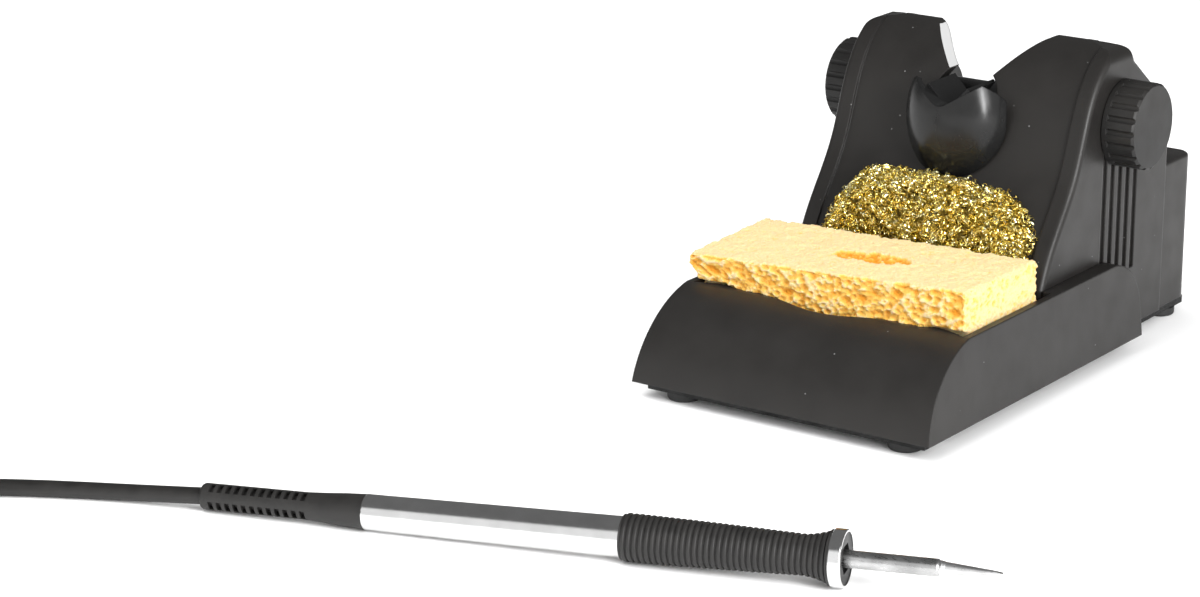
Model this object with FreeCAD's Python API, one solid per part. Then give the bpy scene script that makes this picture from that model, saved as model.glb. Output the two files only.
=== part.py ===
"""Soldering iron station: a weighted rest with a tilting cradle, a sponge and brass wool, and its pencil iron.

Lengths are millimetres. The rest is drawn with x = 0 on its middle plane, y = 0 at the front of the tray
and z = 0 on the bench. Every piece is moved by ORIGIN when it is written, so that the saved origin is the
middle of the floor that the rest and the iron cover together.
"""
import FreeCAD, Part
import math
import os
from FreeCAD import Placement, Rotation, Vector

ORIGIN = Vector(13.7, 14.1, 0)

# Tray
BASE_Z = 5.0
RIM_Z = 30.0
TRAY_HALF_BOTTOM = 50.15
TRAY_HALF_TOP = 47.85
TRAY_WALL = 2.2
TRAY_DEPTH = 127.0
NOSE_RADIUS = 31.0
NOSE_CENTRE = (30.5, -0.5)
CHEEK_END_RADIUS = 16.0
EAR_X = 36.0
EAR_Y = 28.3
SCOOP_Y = 22.3
LIP_CORNER_Y = 25.0

# Tower housing
TOWER_HALF = 42.7
TOWER_FRONT = 76.0
TOWER_REAR = 154.4
TOWER_WALL = 2.4
RIM_WIDTH = 5.6
FACE_RECESS = 1.0
CROWN_Y = 120.0
CROWN_Z = 95.3
FACE_CURVE = [(80.8, 40), (94.2, 60), (102.4, 80), (110.8, 90.8)]
BACK_SLOPE = [(129.6, 89.2), (149.0, 74.6)]
SHOULDER_Z = 66.0
CROWN_FLAT_HALF = 28.0
CROWN_SLOPE = 0.15
CROWN_ROUND = 4.5
RIM_FILLET = 1.8
THROAT_HALF = 7.4
THROAT_Z = 84.2
NOTCH_SIDE = [(THROAT_HALF, THROAT_Z), (11.4, 88.4), (15.4, 92.2), (18.2, 94.3), (22.0, 95.7), (28.0, 96.8)]
SLOT_RADIUS = 11.0
SLOT_CENTRE_Z = 76.0
SLOT_BOTTOM_Z = 59.5
LIP_BACK = [(107.0, 54.0), (107.0, 76.0), (109.0, 80.0), (112.5, 86.0), (117.0, 90.4), (120.5, 93.2), (123.6, 96.6)]
SHAFT_WALL_HALF = 30.0
GROOVES = 5
GROOVE_FIRST_Y = 112.6
GROOVE_PITCH = 4.9
GROOVE_WIDTH = 2.6
GROOVE_DEPTH = 1.2

# Rear box and base
BOX_HALF = 41.7
BOX_REAR = 174.0
BOX_TOP = 51.6
BOX_WALL = 2.2
PLATE_Z = 2.6
FOOT_RADIUS = 5.0
FOOT_PLACES = {"front_left": (-37.5, 8.8), "front_right": (37.5, 8.8),
               "rear_left": (-36.5, 165.0), "rear_right": (36.5, 165.0)}
SCREW_PLACES = [(44.2, 17.0), (36.2, 148.6), (37.2, 158.8)]
SCREW_RADIUS = 1.5

# Cradle, which tilts about PIVOT
PIVOT = (121.3, 71.8)
SHAFT_RADIUS = 3.0
RUNNING_GAP = 0.05
CUP_CENTRE = (0.0, 100.0, 72.0)
CUP_SIZE = (17.0, 14.0, 22.0)
CUP_WALL = 1.8
CUP_CLEAR_RADIUS = 23.2
CUP_TIP = (10.9, 92.0, 84.5)
CUP_RIM_REAR = (100.0, 78.0)
CUP_NOTCH_Z = 77.4
CUP_NOTCH_ROUND = 4.0
CHANNEL_FRONT = 92.0
CHANNEL_REAR = 107.6
CHANNEL_FLOOR_Z = 75.6
CHANNEL_HEIGHT = 7.0
CHANNEL_HALF = 6.6
CHANNEL_LIP = 0.8
CUP_SCREW_HEIGHTS = (63.2, 68.0)

# Knobs
KNOB_RADIUS = 13.1
KNOB_LENGTH = 10.8
KNOB_FLUTES = 20
KNOB_GAP = 0.3

# Sponge and wool
SPONGE_HALF = 45.2
SPONGE_FRONT = 26.0
SPONGE_BACK = 68.2
SPONGE_TOP = {"front_left": 38.2, "front_right": 42.6, "back_right": 41.8, "back_left": 39.6}
DISH_Z = 19.0
WOOL_FLOOR_Z = 34.0

# Iron, drawn along +X from the rear end of its strain relief
IRON_AT = (-89.2, -142.5, 3.91)
IRON_HEADING = 17.3
IRON_PITCH = 1.217
RELIEF_END = 46.6
TUBE_END = 117.7
GRIP_END = 173.0
RING_END = 176.5
SLEEVE_START = 142.0
SLEEVE_END = 200.4
CONTACT_RING_PLACES = [SLEEVE_START - back for back in (12.6, 11.4, 10.2)]
TIP_END = 216.4
RELIEF_RADIUS = 3.6
TUBE_RADIUS_REAR = 4.8
TUBE_RADIUS_FRONT = 5.45
RING_RADIUS = 7.55
SLEEVE_RADIUS = 2.3
GRIP_RIBS = 34
GRIP_REAR = 6.35
GRIP_WAIST = 5.35

# Cord
CORD = 4.6
LEAD_ROUTE = [(-89.2, -142.5, 3.91), (-103.5, -147.2, 2.9), (-117.5, -153.0, 2.4), (-130.5, -159.8, 2.35),
              (-142.5, -167.0, 2.35), (-155.0, -175.4, 2.35), (-168.5, -185.2, 2.35)]
COIL_CENTRE = (-153.6, -205.7)
COIL_RADIUS_IN = 23.0
COIL_LAYERS = 4
TAIL_ROUTE = [(-153.6, -182.7, 16.2), (-168.5, -183.4, 16.3), (-182.5, -187.0, 12.2), (-194.5, -192.6, 8.4),
              (-204.5, -199.4, 7.6)]
PLUG_RADIUS = 7.5
PLUG_NOSE_RADIUS = 6.0


def box(x0, x1, y0, y1, z0, z1):
    return Part.makeBox(x1 - x0, y1 - y0, z1 - z0, Vector(x0, y0, z0))


def prism(points, depth):
    """A straight-sided solid from a closed outline and the vector it is pushed along."""
    corners = [Vector(*point) for point in points]
    return Part.Face(Part.makePolygon(corners + corners[:1])).extrude(depth)


def prism_x(outline, x0, x1):
    return prism([(x0, y, z) for y, z in outline], Vector(x1 - x0, 0, 0))


def prism_y(outline, y0, y1):
    return prism([(x, y0, z) for x, z in outline], Vector(0, y1 - y0, 0))


def prism_z(outline, z0, z1):
    return prism([(x, y, z0) for x, y in outline], Vector(0, 0, z1 - z0))


def rod_x(radius, x0, x1, y=0.0, z=0.0):
    return Part.makeCylinder(radius, x1 - x0, Vector(x0, y, z), Vector(1, 0, 0))


def rod_z(radius, z0, z1, x, y):
    return Part.makeCylinder(radius, z1 - z0, Vector(x, y, z0))


def turned(outline):
    """A solid turned about the X axis from (x, radius) points."""
    corners = [Vector(x, 0, r) for x, r in outline]
    face = Part.Face(Part.makePolygon(corners + corners[:1]))
    return face.revolve(Vector(0, 0, 0), Vector(1, 0, 0), 360)


def mirrored(shape):
    return shape.mirror(Vector(0, 0, 0), Vector(1, 0, 0))


def joined(shapes):
    return shapes[0].multiFuse(shapes[1:]).removeSplitter()


def spline_edge(points, x):
    curve = Part.BSplineCurve()
    curve.interpolate([Vector(x, y, z) for y, z in points])
    return curve.toShape()


def line(a, b, x):
    return Part.makeLine(Vector(x, *a), Vector(x, *b))


# ---------------------------------------------------------------- tray

def tray_outline_solid(inset):
    """The tray's outside, or its inside when inset by the wall: a side outline pushed across, tapered."""
    radius = NOSE_RADIUS - inset
    cy, cz = NOSE_CENTRE
    top = RIM_Z - inset
    base = BASE_Z if inset == 0 else BASE_Z - 1
    start = (cy - math.sqrt(radius ** 2 - (base - cz) ** 2), base)
    end = (cy - math.sqrt(max(radius ** 2 - (top - cz) ** 2, 0.01)), top)
    angle = math.radians(150)
    middle = (cy + radius * math.cos(angle), cz + radius * math.sin(angle))
    back = TRAY_DEPTH - inset
    bend = CHEEK_END_RADIUS - inset
    bend_mid = (back - bend + bend * math.cos(math.radians(45)), top - bend + bend * math.sin(math.radians(45)))
    x = -60
    edges = [
        Part.Arc(Vector(x, *start), Vector(x, *middle), Vector(x, *end)).toShape(),
        line(end, (back - bend, top), x),
        Part.Arc(Vector(x, back - bend, top), Vector(x, *bend_mid), Vector(x, back, top - bend)).toShape(),
        line((back, top - bend), (back, base), x),
        line((back, base), start, x),
    ]
    side = Part.Face(Part.Wire(edges)).extrude(Vector(120, 0, 0))
    lean = (TRAY_HALF_BOTTOM - TRAY_HALF_TOP) / (RIM_Z - BASE_Z)
    low = TRAY_HALF_BOTTOM + lean * 2 - inset
    high = TRAY_HALF_TOP - lean * 2 - inset
    taper = prism_y([(-low, BASE_Z - 2), (low, BASE_Z - 2), (high, RIM_Z + 2), (-high, RIM_Z + 2)], -5, 140)
    return side.common(taper)


def lip_cut():
    """The tray's open top: its front edge is scooped in the middle, with an ear near each cheek."""
    half = TRAY_HALF_TOP - TRAY_WALL
    z = RIM_Z - 6
    curve = Part.BSplineCurve()
    curve.interpolate([Vector(x, y, z) for x, y in ((-half, LIP_CORNER_Y), (-EAR_X, EAR_Y), (0, SCOOP_Y),
                                                     (EAR_X, EAR_Y), (half, LIP_CORNER_Y))])
    ends = [Vector(half, LIP_CORNER_Y, z), Vector(half, TOWER_FRONT, z), Vector(-half, TOWER_FRONT, z),
            Vector(-half, LIP_CORNER_Y, z)]
    edges = [curve.toShape()] + [Part.makeLine(a, b) for a, b in zip(ends, ends[1:])]
    return Part.Face(Part.Wire(edges)).extrude(Vector(0, 0, 20))


def tray_shell():
    shell = tray_outline_solid(0).cut(tray_outline_solid(TRAY_WALL))
    shell = shell.cut(lip_cut())
    tower_place = box(-TOWER_HALF - 0.2, TOWER_HALF + 0.2, TOWER_FRONT - 1, TRAY_DEPTH + 5, 0, 60)
    shell = shell.cut(tower_place)
    x, y = SCREW_PLACES[0]
    post = rod_z(4.0, BASE_Z, 14, x, y).common(tray_outline_solid(0.5))
    post = post.cut(rod_z(SCREW_RADIUS, BASE_Z - 1, 12, x, y))
    return joined([shell, post, mirrored(post)])


def sponge_dish():
    """A shallow lift-out dish: a floor, a low rim, drain ribs and a finger tab at the back."""
    half = TRAY_HALF_TOP - TRAY_WALL - 0.4
    front, back = EAR_Y + 0.8, SPONGE_BACK - 0.2
    dish = box(-half, half, front, back, DISH_Z, DISH_Z + 3.2)
    dish = dish.cut(box(-half + 1.6, half - 1.6, front + 1.6, back - 1.6, DISH_Z + 1.6, DISH_Z + 5))
    ribs = [box(x - 0.8, x + 0.8, front + 1, back - 1, DISH_Z + 1, DISH_Z + 3.2) for x in (-30, -15, 0, 15, 30)]
    return joined([dish] + ribs)


def sponge():
    """Cellulose block with a sloping top; its lower part stands inside the lip."""
    foot = box(-SPONGE_HALF, SPONGE_HALF, EAR_Y + 0.9, SPONGE_BACK - 0.3, DISH_Z + 3.5, RIM_Z + 2)
    foot = foot.fuse(box(-17, 17, SPONGE_FRONT + 0.9, EAR_Y + 2, DISH_Z + 3.5, RIM_Z + 2))
    x, y0, y1, z = SPONGE_HALF, SPONGE_FRONT, SPONGE_BACK, RIM_Z + 1.2
    low = [Vector(-x, y0, z), Vector(x, y0, z), Vector(x, y1, z), Vector(-x, y1, z)]
    tops = [SPONGE_TOP[name] for name in ("front_left", "front_right", "back_right", "back_left")]
    high = [Vector(p.x, p.y, top) for p, top in zip(low, tops)]
    faces = [Part.Face(Part.makePolygon([*low, low[0]]))]
    for i in range(4):
        j = (i + 1) % 4
        faces.append(Part.Face(Part.makePolygon([low[i], low[j], high[j], high[i], low[i]])))
    faces.append(Part.Face(Part.makePolygon([high[0], high[1], high[2], high[0]])))
    faces.append(Part.Face(Part.makePolygon([high[0], high[2], high[3], high[0]])))
    block = Part.Solid(Part.Shell(faces))
    if block.Volume < 0:
        block.reverse()
    return joined([block, foot])


def wool_tray():
    """The bin between the sponge and the tower's face: four walls and a floor the wool stands on."""
    half = TOWER_HALF - RIM_WIDTH - 0.5
    front, back = SPONGE_BACK + 0.6, TOWER_FRONT - 1.2
    bin_ = box(-half, half, front, back, 10, WOOL_FLOOR_Z)
    return bin_.cut(box(-half + 1.6, half - 1.6, front + 1.6, back - 1.6, 9, WOOL_FLOOR_Z - 1.6))


def brass_wool():
    """The outer form of the wool: it leans on the tower's face and slopes down to the sponge."""
    side = prism_x([(73.2, WOOL_FLOOR_Z + 0.4), (69.0, 42.4), (73.5, 50.4), (79.5, 55.2), (84.8, 56.9),
                    (88.2, 55.2), (82.8, 44.0), (77.6, WOOL_FLOOR_Z + 0.4)], -40, 40)
    front = prism_y([(-36.2, WOOL_FLOOR_Z), (-36.4, 45), (-31, 53.2), (-20, 57), (2, 57), (22, 54.6),
                     (32, 49), (36.4, 42), (36.4, WOOL_FLOOR_Z)], 60, 95)
    return side.common(front)


# ---------------------------------------------------------------- tower

def crown_form(dz):
    """The housing from the front: upright sides, round shoulders and a crown that falls a little to them."""
    half = TOWER_HALF if dz == 0 else TOWER_HALF - TOWER_WALL
    top = CROWN_Z + 0.6 - dz
    round_x = half - CROWN_ROUND
    round_z = top - CROWN_SLOPE * (round_x - CROWN_FLAT_HALF)
    slant = math.sqrt(0.5)
    y = 60
    edges = [Part.makeLine(Vector(-CROWN_FLAT_HALF, y, top), Vector(CROWN_FLAT_HALF, y, top))]
    for side in (-1, 1):
        start = Vector(side * round_x, y, round_z)
        middle = Vector(side * (round_x + CROWN_ROUND * slant), y, round_z - CROWN_ROUND * (1 - slant))
        end = Vector(side * half, y, round_z - CROWN_ROUND)
        edges.append(Part.makeLine(Vector(side * CROWN_FLAT_HALF, y, top), start))
        edges.append(Part.Arc(start, middle, end).toShape())
        edges.append(Part.makeLine(end, Vector(side * half, y, 0)))
    edges.append(Part.makeLine(Vector(-half, y, 0), Vector(half, y, 0)))
    wire = Part.Wire(Part.__sortEdges__(edges))
    return Part.Face(wire).extrude(Vector(0, 120, 0))


def tower_solid(half, dy=0.0, dz=0.0, fillet=0.0):
    """The housing's side outline pushed across to +-half, moved back by dy and down by dz."""
    x = -half
    foot_front, foot_rear = (TOWER_FRONT + dy, BASE_Z), (TOWER_REAR, BASE_Z)
    face = [(TOWER_FRONT, RIM_Z)] + FACE_CURVE + [(CROWN_Y, CROWN_Z)]
    face = [(y + dy, z - dz) for y, z in face]
    slope = [(y, z - dz) for y, z in BACK_SLOPE]
    shoulder = (TOWER_REAR, SHOULDER_Z - dz)
    crown_mid = ((face[-1][0] + slope[0][0]) / 2 + 0.8, face[-1][1] - 1.4)
    edges = [
        line(foot_front, face[0], x),
        spline_edge(face, x),
        spline_edge([face[-1], crown_mid, slope[0]], x),
        line(slope[0], slope[1], x),
        spline_edge([slope[1], (152.9, slope[1][1] - 4.0), shoulder], x),
        line(shoulder, foot_rear, x),
        line(foot_rear, foot_front, x),
    ]
    solid = Part.Face(Part.Wire(edges)).extrude(Vector(2 * half, 0, 0))
    if fillet:
        rims = [e for e in solid.Edges if abs(abs(e.CenterOfMass.x) - half) < 0.01 and e.CenterOfMass.z > BASE_Z + 1]
        solid = solid.makeFillet(fillet, rims)
    return solid.common(crown_form(dz))


def notch_side():
    """One side of the V between the towers, from the throat up to where it rounds over into the crown."""
    curve = Part.BSplineCurve()
    curve.interpolate([Vector(x, 85, z) for x, z in NOTCH_SIDE])
    top_x, top_z = NOTCH_SIDE[-1]
    corners = [Vector(top_x, 85, top_z), Vector(top_x, 85, top_z + 4), Vector(0, 85, top_z + 4),
               Vector(0, 85, SLOT_CENTRE_Z), Vector(THROAT_HALF, 85, SLOT_CENTRE_Z), Vector(THROAT_HALF, 85, THROAT_Z)]
    edges = [curve.toShape()] + [Part.makeLine(a, b) for a, b in zip(corners, corners[1:])]
    return Part.Face(Part.Wire(edges)).extrude(Vector(0, 75, 0))


def notch_cut():
    """The V between the two towers, its throat, and the round-topped slot below it for the cradle."""
    arch = Part.makeCylinder(SLOT_RADIUS, 75, Vector(0, 85, SLOT_CENTRE_Z), Vector(0, 1, 0))
    slot = box(-SLOT_RADIUS, SLOT_RADIUS, 85, 160, SLOT_BOTTOM_Z, SLOT_CENTRE_Z)
    return joined([notch_side(), mirrored(notch_side()), arch, slot])


def behind_lip():
    """The open space behind the middle of the face: the face's wall there follows LIP_BACK."""
    x = -SHAFT_WALL_HALF
    edges = [
        spline_edge(LIP_BACK, x),
        line(LIP_BACK[-1], (165, LIP_BACK[-1][1]), x),
        line((165, LIP_BACK[-1][1]), (165, LIP_BACK[0][1]), x),
        line((165, LIP_BACK[0][1]), LIP_BACK[0], x),
    ]
    return Part.Face(Part.Wire(edges)).extrude(Vector(2 * SHAFT_WALL_HALF, 0, 0))


def tower_housing():
    body = tower_solid(TOWER_HALF, fillet=RIM_FILLET)
    inner = TOWER_HALF - RIM_WIDTH
    recess = tower_solid(inner).cut(tower_solid(inner + 1, dy=FACE_RECESS))
    body = body.cut(recess)
    hollow_half = TOWER_HALF - TOWER_WALL
    hollow = tower_solid(hollow_half, dy=FACE_RECESS + 2.6, dz=2.6)
    hollow = hollow.common(box(-hollow_half, hollow_half, 60, TOWER_REAR - TOWER_WALL, 0, 100))
    hollow = hollow.fuse(box(-hollow_half, hollow_half, TOWER_FRONT + 4.6, TOWER_REAR - TOWER_WALL, 0, BASE_Z + 2))
    side_half = SHAFT_WALL_HALF + TOWER_WALL
    middle = tower_solid(side_half, dy=FACE_RECESS)
    side_walls = middle.cut(box(-SHAFT_WALL_HALF, SHAFT_WALL_HALF, 60, 170, 0, 100)).common(hollow)
    lip = middle.cut(behind_lip()).common(box(-side_half, side_half, 80, 128, LIP_BACK[0][1], 100))
    body = body.cut(hollow).fuse(lip).fuse(side_walls)
    body = body.cut(behind_lip())
    body = body.cut(notch_cut())
    body = body.cut(rod_x(6.8, -side_half - 0.5, side_half + 0.5, *PIVOT))
    hole = rod_x(SHAFT_RADIUS + RUNNING_GAP, -60, 60, *PIVOT)
    body = body.cut(hole)
    for i in range(GROOVES):
        y = GROOVE_FIRST_Y + i * GROOVE_PITCH
        groove = box(TOWER_HALF - GROOVE_DEPTH, TOWER_HALF + 1, y - GROOVE_WIDTH / 2, y + GROOVE_WIDTH / 2, 24, 66)
        body = body.cut(groove).cut(mirrored(groove))
    x, y = SCREW_PLACES[1]
    post = rod_z(4.2, BASE_Z, 16, x, y).cut(rod_z(SCREW_RADIUS, BASE_Z - 1, 12, x, y))
    return joined([body, post, mirrored(post)])


def rear_box():
    front = TOWER_REAR
    outer = box(-BOX_HALF, BOX_HALF, front, BOX_REAR, BASE_Z, BOX_TOP)
    upright = [e for e in outer.Edges if e.CenterOfMass.y > BOX_REAR - 0.1 and abs(e.CenterOfMass.x) > 1]
    outer = outer.makeFillet(5.0, upright)
    outer = outer.makeFillet(1.2, [e for e in outer.Edges if e.CenterOfMass.z > BOX_TOP - 0.1
                                   and e.CenterOfMass.y > front + 1])
    inner = box(-BOX_HALF + BOX_WALL, BOX_HALF - BOX_WALL, front + BOX_WALL, BOX_REAR - BOX_WALL,
                BASE_Z - 1, BOX_TOP - BOX_WALL)
    shell = outer.cut(inner)
    x, y = SCREW_PLACES[2]
    post = rod_z(3.6, BASE_Z, 16, x, y).common(outer).cut(rod_z(SCREW_RADIUS, BASE_Z - 1, 12, x, y))
    return joined([shell, post, mirrored(post)])


def ballast_block():
    return box(-30, 30, 158, 170, BASE_Z, 38)


def base_plate():
    front, back = 3.4, 172.0
    wide, narrow = TRAY_HALF_BOTTOM - 3.4, BOX_HALF - 0.6
    outline = [(-wide, front), (wide, front), (wide, 124), (narrow, 126), (narrow, back), (-narrow, back),
               (-narrow, 126), (-wide, 124)]
    plate = prism_z(outline, PLATE_Z, BASE_Z)
    for x, y in SCREW_PLACES:
        for side in (-1, 1):
            plate = plate.cut(rod_z(SCREW_RADIUS, 0, 10, side * x, y))
            plate = plate.cut(rod_z(2.8, 0, PLATE_Z + 1.2, side * x, y))
    return plate


def base_screws():
    screws = []
    for x, y in SCREW_PLACES:
        for side in (-1, 1):
            head = rod_z(2.8, PLATE_Z, PLATE_Z + 1.2, side * x, y)
            slot = box(side * x - 2, side * x + 2, y - 0.4, y + 0.4, PLATE_Z, PLATE_Z + 0.5)
            screws.append(head.cut(slot).fuse(rod_z(SCREW_RADIUS, PLATE_Z + 1.2, 12, side * x, y)))
    return Part.makeCompound(screws)


def rubber_foot(x, y):
    foot = rod_z(FOOT_RADIUS, 0, PLATE_Z, x, y)
    return foot.makeFillet(0.8, [e for e in foot.Edges if e.CenterOfMass.z < 0.01])


# ---------------------------------------------------------------- cradle

def stretched_ball(sizes):
    """An ellipsoid about CUP_CENTRE."""
    matrix = FreeCAD.Matrix()
    matrix.scale(*sizes)
    ball = Part.makeSphere(1).transformGeometry(matrix)
    ball.translate(Vector(*CUP_CENTRE))
    return ball


def rounded_notch():
    """The groove across the cup's rim: a V with a round bottom."""
    tip_x, _, tip_z = CUP_TIP
    low = CUP_NOTCH_Z
    slope = (tip_z - low) / tip_x
    along = 1 / math.sqrt(1 + slope * slope)
    reach = CUP_NOTCH_ROUND * slope * along
    rise = CUP_NOTCH_ROUND * (1 - along)
    y = 80
    start = Vector(-reach, y, low + rise)
    end = Vector(reach, y, low + rise)
    lift = low + rise - slope * reach
    far = 30
    corners = [end, Vector(far, y, lift + slope * far), Vector(far, y, 120), Vector(-far, y, 120),
               Vector(-far, y, lift + slope * far), start]
    edges = [Part.Arc(start, Vector(0, y, low), end).toShape()]
    edges += [Part.makeLine(a, b) for a, b in zip(corners, corners[1:])]
    return Part.Face(Part.Wire(edges)).extrude(Vector(0, 40, 0))


def cradle_cup():
    """The guard in front of the towers: half a bowl with a notched rim, clear of the face at every tilt."""
    outer = stretched_ball(CUP_SIZE)
    inner = stretched_ball([size - CUP_WALL for size in CUP_SIZE])
    cup = outer.cut(inner.common(box(-30, 30, CHANNEL_FRONT, 140, 40, 110)))
    _, tip_y, tip_z = CUP_TIP
    rear_y, rear_z = CUP_RIM_REAR
    rim = prism_x([(tip_y, tip_z), (rear_y, rear_z), (125, rear_z), (125, 120), (tip_y, 120)], -30, 30)
    cup = cup.cut(rim).cut(rounded_notch())
    cup = cup.cut(rod_x(CUP_CLEAR_RADIUS, -30, 30, *PIVOT))
    cup = cup.cut(tower_solid(36, dy=FACE_RECESS - 0.7))
    for z in CUP_SCREW_HEIGHTS:
        cup = cup.cut(Part.makeCylinder(1.2, 2.4, Vector(0, CHANNEL_FRONT, z), Vector(0, -1, 0)))
    return largest(cup)


def largest(shape):
    return max(shape.Solids, key=lambda solid: solid.Volume)


def rest_channel():
    """V channel on a web, with the front flange that carries the cup and the cross bar on the pivot."""
    z = CHANNEL_FLOOR_Z
    half, high, lip = CHANNEL_HALF, z + CHANNEL_HEIGHT, CHANNEL_LIP
    right = [(half, high), (half + lip, high - lip), (1.4, z - 1.5)]
    trough = prism_y([(0, z)] + right + [(-x, height) for x, height in reversed(right)], CHANNEL_FRONT, CHANNEL_REAR)
    trough = trough.cut(box(-1, 1, CHANNEL_FRONT - 1, CHANNEL_REAR + 1, z + 0.45, z + 1.05))
    flange = box(-5.5, 5.5, CHANNEL_FRONT, CHANNEL_FRONT + 2.4, 60.8, z - 0.6)
    web = prism_x([(CHANNEL_FRONT, 62), (CHANNEL_FRONT, z - 1), (CHANNEL_REAR - 1, z - 0.6), (PIVOT[0] + 4, 76),
                   (PIVOT[0] + 5, 67), (PIVOT[0] - 5, 66)], -1.6, 1.6)
    bar = rod_x(6.0, -38.0, 38.0, *PIVOT)
    shape = joined([trough, flange, web, bar])
    shape = shape.cut(rod_x(SHAFT_RADIUS, -50, 50, *PIVOT))
    for screw_z in CUP_SCREW_HEIGHTS:
        shape = shape.cut(Part.makeCylinder(1.2, 3, Vector(0, CHANNEL_FRONT - 0.1, screw_z), Vector(0, 1, 0)))
        shape = shape.cut(Part.makeCylinder(2.3, 8, Vector(0, CHANNEL_FRONT + 2.4, screw_z), Vector(0, 1, 0)))
    return largest(shape.cut(cradle_cup()))


def cup_screws():
    screws = []
    for z in CUP_SCREW_HEIGHTS:
        shank = Part.makeCylinder(1.2, 4.6, Vector(0, CHANNEL_FRONT - 2.2, z), Vector(0, 1, 0))
        head = Part.makeCylinder(2.2, 1.6, Vector(0, CHANNEL_FRONT + 2.4, z), Vector(0, 1, 0))
        screws.append(shank.fuse(head))
    return Part.makeCompound(screws)


def wear_strip():
    """The steel strip at the bottom of the channel that the hot sleeve lies on."""
    z = CHANNEL_FLOOR_Z
    return box(-1.0, 1.0, CHANNEL_FRONT + 0.2, CHANNEL_REAR - 0.2, z + 0.45, z + 1.05)


def pivot_shaft():
    end = TOWER_HALF + KNOB_LENGTH - 3.0
    shaft = rod_x(SHAFT_RADIUS, -end, end, *PIVOT)
    return shaft.makeChamfer(0.5, [e for e in shaft.Edges if abs(abs(e.CenterOfMass.x) - end) < 0.01])


def friction_washer(side):
    washer = rod_x(8.0, 38.0, TOWER_HALF - TOWER_WALL - 0.3, *PIVOT)
    washer = washer.cut(rod_x(SHAFT_RADIUS, 30, 50, *PIVOT))
    return washer if side > 0 else mirrored(washer)


def knob(side):
    """A fluted clamp knob: a plain base ring, coarse flutes and a flat dished end."""
    y, z = PIVOT
    x0 = TOWER_HALF + KNOB_GAP
    x1 = TOWER_HALF + KNOB_LENGTH
    body = rod_x(KNOB_RADIUS, x0, x1, y, z)
    body = body.makeChamfer(0.7, [e for e in body.Edges if abs(e.CenterOfMass.x - x1) < 0.01])
    groove_radius = 1.0
    for i in range(KNOB_FLUTES):
        angle = 2 * math.pi * i / KNOB_FLUTES
        reach = KNOB_RADIUS + 0.25
        flute = rod_x(groove_radius, x0 + 1.6, x1 + 1, y + reach * math.cos(angle), z + reach * math.sin(angle))
        body = body.cut(flute)
    body = body.cut(rod_x(5.0, x0 - 1, x1 - 2.2, y, z))
    return body if side > 0 else mirrored(body)


def knob_insert(side):
    x0 = TOWER_HALF + KNOB_GAP + 0.4
    x1 = TOWER_HALF + KNOB_LENGTH - 2.2
    insert = rod_x(5.0, x0, x1, *PIVOT).cut(rod_x(SHAFT_RADIUS + RUNNING_GAP, x0 - 1, x1 + 1, *PIVOT))
    return insert if side > 0 else mirrored(insert)


# ---------------------------------------------------------------- iron

def strain_relief():
    body = turned([(0, CORD / 2), (0, RELIEF_RADIUS - 0.3), (0.5, RELIEF_RADIUS), (30, RELIEF_RADIUS + 0.1),
                   (36, RELIEF_RADIUS + 0.45), (41, TUBE_RADIUS_REAR - 0.35), (RELIEF_END, TUBE_RADIUS_REAR - 0.1),
                   (RELIEF_END, 3.9), (RELIEF_END + 6, 3.9), (RELIEF_END + 6, CORD / 2)])
    columns, pitch, slot, height, turn = 12, 2.4, 1.4, 2.8, 27
    for i in range(columns):
        x = 3.2 + i * pitch
        for quarter in range(2):
            window = box(x - slot / 2, x + slot / 2, -6, 6, -height / 2, height / 2)
            window = window.cut(rod_x(CORD / 2 + 0.2, x - 2, x + 2))
            window.rotate(Vector(0, 0, 0), Vector(1, 0, 0), 90 * quarter + turn)
            body = body.cut(window)
    return body


def cord_end():
    """The jacket inside the strain relief and the rear of the handle."""
    return rod_x(CORD / 2, 0, RELIEF_END + 9)


def handle_tube():
    wall = 0.7
    return turned([(RELIEF_END, TUBE_RADIUS_REAR - 0.15), (RELIEF_END + 0.3, TUBE_RADIUS_REAR),
                   (TUBE_END, TUBE_RADIUS_FRONT), (TUBE_END, TUBE_RADIUS_FRONT - wall),
                   (RELIEF_END, TUBE_RADIUS_REAR - wall)])


def grip_radius(x):
    """Outer radius of the grip: slim before the collar, and flared up to it."""
    share = (x - TUBE_END) / (GRIP_END - TUBE_END)
    waist = 0.86
    if share < waist:
        return GRIP_REAR - (GRIP_REAR - GRIP_WAIST) * (share / waist) ** 1.5
    return GRIP_WAIST + (RING_RADIUS - 0.4 - GRIP_WAIST) * ((share - waist) / (1 - waist)) ** 1.6


def grip():
    """Rubber sleeve with rounded ribs all the way to the collar."""
    pitch = (GRIP_END - TUBE_END - 1.2) / GRIP_RIBS
    outline = [(TUBE_END, 4.8), (TUBE_END, grip_radius(TUBE_END) - 0.3)]
    for i in range(GRIP_RIBS):
        x = TUBE_END + 0.6 + i * pitch
        for share, lift in ((0.0, -0.5), (0.12, -0.12), (0.3, 0.0), (0.55, 0.0), (0.72, -0.12), (0.84, -0.5)):
            outline.append((x + share * pitch, grip_radius(x + share * pitch) + lift))
    outline += [(GRIP_END - 0.6, grip_radius(GRIP_END)), (GRIP_END, grip_radius(GRIP_END)), (GRIP_END, 4.8)]
    return turned(outline)


def front_core():
    """Stiff tube under the grip that joins the handle tube to the collar."""
    return turned([(TUBE_END - 12, 3.4), (TUBE_END - 12, TUBE_RADIUS_FRONT - 0.85), (TUBE_END, 4.55), (TUBE_END, 4.8),
                   (GRIP_END + 1.2, 4.8), (GRIP_END + 1.2, 3.4)])


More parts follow.
